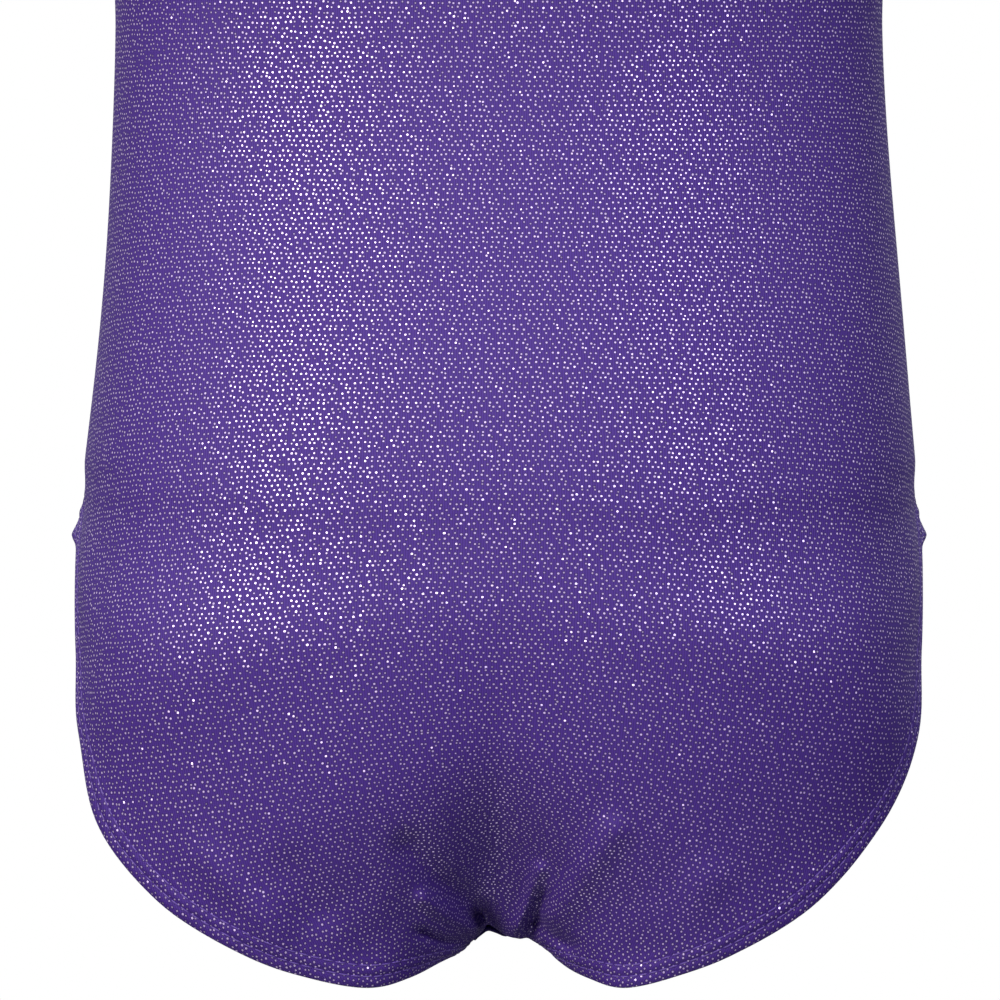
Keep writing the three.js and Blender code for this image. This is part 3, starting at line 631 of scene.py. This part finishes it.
def foil_tricot_material():
    """Warp-knit nylon and elastane printed with foil dots: violet cloth with a soft sheen, and
    specks of foil on a loose triangular pattern, each lying at its own small tilt."""
    material, tree, uv = new_material("violet_foil_dot_tricot")
    split = add_node(tree, "ShaderNodeSeparateXYZ", links={0: uv.outputs[0]})
    pitch = 1.66 * MM
    row_height = pitch * math.sqrt(3) / 2
    row = add_node(tree, "ShaderNodeMath", {"operation": "DIVIDE", 1: row_height}, {0: split.outputs["Y"]})
    column = add_node(tree, "ShaderNodeMath", {"operation": "DIVIDE", 1: pitch}, {0: split.outputs["X"]})
    lean = add_node(tree, "ShaderNodeMath", {"operation": "MULTIPLY_ADD", 1: -0.5},
                    {0: row.outputs[0], 2: column.outputs[0]})
    lattice = add_node(tree, "ShaderNodeCombineXYZ", links={0: lean.outputs[0], 1: row.outputs[0]})
    dots = add_node(tree, "ShaderNodeTexVoronoi", {"voronoi_dimensions": "2D", "feature": "F1", "Scale": 1.0,
                    "Randomness": 0.46}, {"Vector": lattice.outputs[0]})
    away = add_node(tree, "ShaderNodeVectorMath", {"operation": "SUBTRACT"},
                    {0: lattice.outputs[0], 1: dots.outputs["Position"]})
    parts = add_node(tree, "ShaderNodeSeparateXYZ", links={0: away.outputs[0]})
    across = add_node(tree, "ShaderNodeMath", {"operation": "MULTIPLY_ADD", 1: 0.5},
                      {0: parts.outputs["Y"], 2: parts.outputs["X"]})
    up = add_node(tree, "ShaderNodeMath", {"operation": "MULTIPLY", 1: math.sqrt(3) / 2}, {0: parts.outputs["Y"]})
    offset = add_node(tree, "ShaderNodeCombineXYZ", links={0: across.outputs[0], 1: up.outputs[0]})
    distance = add_node(tree, "ShaderNodeVectorMath", {"operation": "LENGTH"}, {0: offset.outputs[0]})
    chance = add_node(tree, "ShaderNodeSeparateXYZ", links={0: dots.outputs["Color"]})
    size = add_node(tree, "ShaderNodeMapRange", {1: 0.0, 2: 1.0, 3: 0.14, 4: 0.2}, {0: chance.outputs["Z"]})
    inside = add_node(tree, "ShaderNodeMath", {"operation": "SUBTRACT"},
                      {0: size.outputs[0], 1: distance.outputs["Value"]})
    speck = add_node(tree, "ShaderNodeMapRange", {1: -0.02, 2: 0.03, 3: 0.0, 4: 1.0}, {0: inside.outputs[0]})
    # Round each speck the cloth's colour is darkened in a ring, down to about a third at the speck's edge: painted
    # shade, not a colour of the print.
    ring = add_node(tree, "ShaderNodeMapRange", {1: -0.17, 2: -0.02, 3: 1.0, 4: 0.36}, {0: inside.outputs[0]})

    # Most specks lie nearly flat; a few lean enough to flash by themselves.
    tilt = add_node(tree, "ShaderNodeVectorMath", {"operation": "SUBTRACT", 1: (0.5, 0.5, 0.5)},
                    {0: dots.outputs["Color"]})
    amount = add_node(tree, "ShaderNodeVectorMath", {"operation": "LENGTH"}, {0: tilt.outputs[0]})
    strong = add_node(tree, "ShaderNodeMath", {"operation": "POWER", 1: 2.0}, {0: amount.outputs["Value"]})
    scaled = add_node(tree, "ShaderNodeVectorMath", {"operation": "SCALE"},
                      {0: tilt.outputs[0], "Scale": strong.outputs[0]})
    geometry = add_node(tree, "ShaderNodeNewGeometry")
    leaning = add_node(tree, "ShaderNodeVectorMath", {"operation": "MULTIPLY_ADD", 1: (1.1, 1.1, 1.1)},
                       {0: scaled.outputs[0], 2: geometry.outputs["Normal"]})
    foil_normal = add_node(tree, "ShaderNodeVectorMath", {"operation": "NORMALIZE"}, {0: leaning.outputs[0]})

    bump, ridge = knit_bump(tree, uv, 0.67, 0.5, 0.5, 0.07)
    shade = add_node(tree, "ShaderNodeMapRange", {1: -1.0, 2: 1.0, 3: 0.82, 4: 1.12}, {0: ridge.outputs[0]})
    # The cloth's colour is darkened by the wale shading and by the painted shade ring round each speck.
    wale_shade_and_painted_ring = add_node(tree, "ShaderNodeMath", {"operation": "MULTIPLY"}, {0: shade.outputs[0], 1: ring.outputs[0]})
    tone = add_node(tree, "ShaderNodeVectorMath", {"operation": "SCALE", 0: linear("#4d3192")[:3]},
                    {"Scale": wale_shade_and_painted_ring.outputs[0]})
    cloth = add_node(tree, "ShaderNodeBsdfPrincipled", {"Roughness": 0.6, "Specular IOR Level": 0.25,
                     "Sheen Weight": 0.06, "Sheen Roughness": 0.35, "Sheen Tint": linear("#a99be0")},
                     {"Base Color": tone.outputs[0], "Normal": bump.outputs[0]})
    foil = add_node(tree, "ShaderNodeBsdfPrincipled", {"Base Color": linear("#dac6ff"), "Metallic": 0.34,
                    "Roughness": 0.3}, {"Normal": foil_normal.outputs[0]})
    both = add_node(tree, "ShaderNodeMixShader", links={0: speck.outputs[0], 1: cloth.outputs[0], 2: foil.outputs[0]})
    add_node(tree, "ShaderNodeOutputMaterial", links={"Surface": both.outputs[0]})
    return material


def plain_knit_material(name, colour, wale, course, roughness):
    material, tree, uv = new_material(name)
    bump, ridge = knit_bump(tree, uv, wale, course, 0.6, 0.08)
    shade = add_node(tree, "ShaderNodeMapRange", {1: -1.0, 2: 1.0, 3: 0.8, 4: 1.1}, {0: ridge.outputs[0]})
    tone = add_node(tree, "ShaderNodeVectorMath", {"operation": "SCALE", 0: linear(colour)[:3]},
                    {"Scale": shade.outputs[0]})
    cloth = add_node(tree, "ShaderNodeBsdfPrincipled", {"Roughness": roughness, "Specular IOR Level": 0.2,
                     "Sheen Weight": 0.15}, {"Base Color": tone.outputs[0], "Normal": bump.outputs[0]})
    add_node(tree, "ShaderNodeOutputMaterial", links={"Surface": cloth.outputs[0]})
    return material


def make_panel(name, face):
    half = panel_halves[face]
    distance = np.linspace(HEM_WIDTH, 0, BAND_COLUMNS + 1)
    turn = np.linspace(0, np.pi, EDGE)[1:]
    across = np.append(distance, -0.42 * FOLD * np.sin(turn))
    depth = np.append(-hem_relief(distance), FOLD / 2 * (1 - np.cos(turn)))
    grids = []
    for side in (1, -1):
        place = mirrored if side < 0 else np.array
        flip = face * side > 0
        grids.append((place(half["rows"]), flip, False))
        for opening, band in bands.items():
            grid = band.points(across, depth, band.lines(face))
            grids.append((place(grid), flip if opening != "neck" else not flip, False))
    piece = mesh_piece(name, grids)
    piece.data.materials.append(foil_tricot)
    piece.data.materials.append(tricot_inside)
    area = lay_flat(piece)
    print(name, "area", round(area, 4), "verts", len(piece.data.vertices))
    thicken(piece, CLOTH, inside_slot=1)
    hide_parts(name)
    return piece


foil_tricot = foil_tricot_material()
tricot_inside = plain_knit_material("violet_tricot_inside", "#3a2475", 0.67, 0.5, 0.8)
back_panel = make_panel("back_panel", 1)
front_panel = make_panel("front_panel", -1)


# ---- Hems --------------------------------------------------------------------------------------
# Round each opening the cloth is turned in over a flat white elastic, 7 mm wide, and held by two
# rows of stitches, 3 and 6.5 mm from the edge. Each stitch is 2.8 mm of violet polyester thread.
def strip_uv(piece, grid):
    """UVs in metres for a closed strip: along it in U, across it in V."""
    steps = np.linalg.norm(np.diff(grid[:, 0], axis=0, append=grid[:1, 0]), axis=1)
    along = np.append(0, np.cumsum(steps)) * MM
    across = np.append(0, np.cumsum(np.linalg.norm(np.diff(grid[0], axis=0), axis=1))) * MM
    count, width = grid.shape[:2]
    layer = piece.data.uv_layers.new(name="flat_cloth")
    for polygon in piece.data.polygons:
        rows = [piece.data.loops[i].vertex_index // width for i in polygon.loop_indices]
        wraps = max(rows) - min(rows) > 1
        for i, r in zip(polygon.loop_indices, rows):
            column = piece.data.loops[i].vertex_index % width
            layer.data[i].uv = (along[r + count if wraps and r == 0 else r], across[column])


def make_strip(name, grid, outward, thickness, material):
    """A closed strip of cloth or elastic. Outward tells which way its face looks."""
    piece = mesh_piece(name, [(grid, not outward, True)], merge=1e-9)
    strip_uv(piece, grid)
    piece.data.materials.append(material)
    thicken(piece, thickness)
    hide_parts(name)


def make_stitches(name, band, distance, side):
    """A row of separate stitches, lying in the groove they pull into the cloth."""
    pitch, reach, half_wide, half_high = 3.3, 1.4, 0.24, 0.19
    lift = 0.16
    path = band.points([distance], [-lift])[:, 0]
    inward, normal = unit(band.inward), band.normal
    if side < 0:
        path, inward, normal = mirrored(path), mirrored(inward), mirrored(normal)
    loop = np.vstack([path, path[:1]])
    run = np.append(0, np.cumsum(np.linalg.norm(np.diff(loop, axis=0), axis=1)))
    count = int(run[-1] / pitch)
    share = np.array([-1, -0.8, -0.3, 0.3, 0.8, 1.0])
    full = np.array([0.25, 0.8, 1, 1, 0.8, 0.25])
    ring = np.linspace(0, 2 * np.pi, 6, endpoint=False)
    at = (np.arange(count)[:, None] + 0.5) * run[-1] / count + share[None] * reach

    def along(values):
        closed = np.vstack([values, values[:1]])
        return np.stack([np.interp(at % run[-1], run, closed[:, i]) for i in range(3)], axis=-1)

    centre, across, out = along(path), unit(along(inward)), unit(along(normal))
    centre -= out * (0.3 * (1 - full))[None, :, None]
    wide = half_wide * full[None, :, None, None] * np.cos(ring)[None, None, :, None]
    high = half_high * full[None, :, None, None] * np.sin(ring)[None, None, :, None]
    points = centre[:, :, None] + across[:, :, None] * wide + out[:, :, None] * high
    faces = []
    for k in range(count):
        first = k * 36
        for r in range(5):
            for i in range(6):
                a, b = first + r * 6 + i, first + r * 6 + (i + 1) % 6
                faces.append((a, b, b + 6, a + 6))
        faces.append(tuple(first + i for i in reversed(range(6))))
        faces.append(tuple(first + 30 + i for i in range(6)))
    mesh = bpy.data.meshes.new(name)
    mesh.from_pydata(to_metres(points).tolist(), [], faces)
    made = bmesh.new()
    made.from_mesh(mesh)
    bmesh.ops.recalc_face_normals(made, faces=made.faces)
    made.to_mesh(mesh)
    made.free()
    mesh.shade_smooth()
    piece = bpy.data.objects.new(name, mesh)
    bpy.context.collection.objects.link(piece)
    piece.data.materials.append(sewing_thread)
    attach(piece, "root")
    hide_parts(name)


def thread_material():
    material = bpy.data.materials.new("violet_polyester_thread")
    material.use_nodes = True
    tree = material.node_tree
    shader = tree.nodes["Principled BSDF"]
    place = add_node(tree, "ShaderNodeTexCoord")
    strands = add_node(tree, "ShaderNodeTexNoise", {"Scale": 5000.0, "Detail": 1.0}, {"Vector": place.outputs["Object"]})
    bump = add_node(tree, "ShaderNodeBump", {"Strength": 0.4, "Distance": 0.05 * MM}, {"Height": strands.outputs[0]})
    tree.links.new(bump.outputs[0], shader.inputs["Normal"])
    shader.inputs["Base Color"].default_value = linear("#6a50ae")
    shader.inputs["Roughness"].default_value = 0.45
    shader.inputs["Sheen Weight"].default_value = 0.2
    return material


sewing_thread = thread_material()
white_elastic = plain_knit_material("white_woven_elastic", "#e9e6ec", 0.9, 0.6, 0.75)
TURN_WIDTH = 8.2
ELASTIC = (0.5, 7.5)
ELASTIC_DEPTH = 0.75
ELASTIC_THICK = 0.85
for opening, side, name in (("leg", 1, "left_leg"), ("leg", -1, "right_leg"), ("armhole", 1, "left_armhole"),
                            ("armhole", -1, "right_armhole"), ("neck", 1, "neck")):
    band = bands[opening]
    place = mirrored if side < 0 else np.array
    probe = band.points([0, 1], [0, 0])
    faces_out = (np.cross(np.roll(probe[:, 0], -1, axis=0) - probe[:, 0], probe[:, 1] - probe[:, 0])
                 * band.normal).sum() > 0
    faces_out = faces_out if side > 0 else not faces_out
    inner_ends = np.linspace(0, TURN_WIDTH, 13)
    turned = place(band.points(inner_ends, np.full(13, FOLD)))
    make_strip(name + "_hem", turned, faces_out, CLOTH, foil_tricot)
    wide = np.linspace(*ELASTIC, 9)
    flat_band = place(band.points(wide, np.full(9, ELASTIC_DEPTH)))
    make_strip(name + "_elastic", flat_band, not faces_out, ELASTIC_THICK, white_elastic)
    make_stitches(name + "_stitch_outer", band, FIRST_STITCH, side)
    make_stitches(name + "_stitch_inner", band, SECOND_STITCH, side)


# ---- Seams, crotch lining and label ---------------------------------------------------------------
# Inside the garment: the seam allowances, overlocked together 3 mm each side of the seam, a
# lining of matt knit in the front of the crotch, and a blank white satin label at the neck.
SEAM_DEPTH = 0.75
ALLOWANCE = 3
overlock = plain_knit_material("violet_overlock_thread", "#6a57ad", 0.8, 1.6, 0.7)


def open_grid_uv(piece, grid):
    rows = np.append(0, np.cumsum(np.linalg.norm(np.diff(grid[:, grid.shape[1] // 2], axis=0), axis=1))) * MM
    middle = grid.shape[0] // 2
    columns = np.append(0, np.cumsum(np.linalg.norm(np.diff(grid[middle], axis=0), axis=1))) * MM
    width = grid.shape[1]
    layer = piece.data.uv_layers.new(name="flat_cloth")
    for loop in piece.data.loops:
        r, c = divmod(loop.vertex_index, width)
        layer.data[loop.index].uv = (columns[c], rows[r])
    return columns[-1], rows[-1]


def make_inner_sheet(name, grid, flip, depth, thickness, material):
    """A sheet laid inside the panels at a depth under their outer face. Its own face looks in."""
    down, right = np.gradient(grid, axis=0), np.gradient(grid, axis=1)
    normal = unit(np.cross(down, right))
    normal = normal if not flip else -normal
    inside = grid - normal * (depth + thickness)
    piece = mesh_piece(name, [(inside, not flip, False)], merge=1e-9)
    width, length = open_grid_uv(piece, inside)
    piece.data.materials.append(material)
    thicken(piece, thickness)
    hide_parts(name)


def walk_in(start, line, distance):
    """The point a distance from the start of a line of points, along it."""
    line = np.vstack([start[None], line])
    run = np.append(0, np.cumsum(np.linalg.norm(np.diff(line, axis=0), axis=1)))
    return np.array([np.interp(distance, run, line[:, i]) for i in range(3)])


def seam_grid(back_lines, front_lines):
    """Points across a seam, from the allowance's end on the back to its end on the front."""
    grid = []
    for back_line, front_line in zip(back_lines, front_lines):
        row = [walk_in(back_line[0], back_line[1:], d) for d in (3, 2, 1)]
        row.append(back_line[0])
        row += [walk_in(front_line[0], front_line[1:], d) for d in (1, 2, 3)]
        grid.append(row)
    return np.array(grid)


back_rows, front_rows = panel_halves[1]["rows"], panel_halves[-1]["rows"]
yoke_row = panel_halves[1]["yoke_row"]
side_rows = slice(SEAT_ROWS + 1, yoke_row)
side_seam = seam_grid(back_rows[side_rows, ::-1][:, :12], front_rows[side_rows, ::-1][:, :12])
shoulder_seam = seam_grid(back_rows[:-12:-1].transpose(1, 0, 2), front_rows[:-12:-1].transpose(1, 0, 2))
crotch_left = seam_grid(back_rows[:12].transpose(1, 0, 2), front_rows[:12].transpose(1, 0, 2))
crotch_seam = np.concatenate([mirrored(crotch_left)[:0:-1], crotch_left])


def looks_out(grid, outward):
    normal = np.cross(np.gradient(grid, axis=0), np.gradient(grid, axis=1))
    return (normal * outward).sum() > 0


for side, word in ((1, "left"), (-1, "right")):
    grid = side_seam if side > 0 else mirrored(side_seam)
    make_inner_sheet(word + "_side_seam", grid, not looks_out(grid, (side, 0, 0)), SEAM_DEPTH, 0.8, overlock)
    grid = shoulder_seam if side > 0 else mirrored(shoulder_seam)
    make_inner_sheet(word + "_shoulder_seam", grid, not looks_out(grid, (0, 0, 1)), SEAM_DEPTH, 0.8, overlock)
make_inner_sheet("crotch_seam", crotch_seam, not looks_out(crotch_seam, (0, 0, -1)), SEAM_DEPTH, 0.8, overlock)

LINING_TOP = 80
lining_left = front_rows[4:SEAT_ROWS]
lining_left = lining_left[lining_left[:, 0, 2] < LINING_TOP]
lining_grid = np.concatenate([mirrored(lining_left)[:, :0:-1], lining_left], axis=1)
lining_knit = plain_knit_material("violet_lining_knit", "#37295f", 0.6, 0.5, 0.85)
make_inner_sheet("crotch_lining", lining_grid, not looks_out(lining_grid, (0, -1, -1)), SEAM_DEPTH, 0.5,
                 lining_knit)

LABEL_WIDTH, LABEL_HEIGHT = 28, 16
neck_row = panel_halves[1]["neck_row"]
levels = np.linspace(ROLL_END, WAIST, 600)
down_back = trunk_point(1, 0.0, levels)
fall = np.append(0, np.cumsum(np.linalg.norm(np.diff(down_back, axis=0), axis=1)))
start = np.interp(-back_rows[neck_row, 0, 2], -down_back[:, 2], fall)
level = np.interp(start + np.linspace(0.6, 0.6 + LABEL_HEIGHT, 12), fall, levels)[:, None]
label_left = trunk_point(1, angle_at(np.linspace(0, LABEL_WIDTH / 2, 8)[None, :], level), level)
label_grid = np.concatenate([mirrored(label_left)[:, :0:-1], label_left], axis=1)
satin = plain_knit_material("white_satin_ribbon", "#f1eff2", 0.25, 0.25, 0.4)
make_inner_sheet("neck_label", label_grid, not looks_out(label_grid, (0, 1, 0)), SEAM_DEPTH, 0.25, satin)
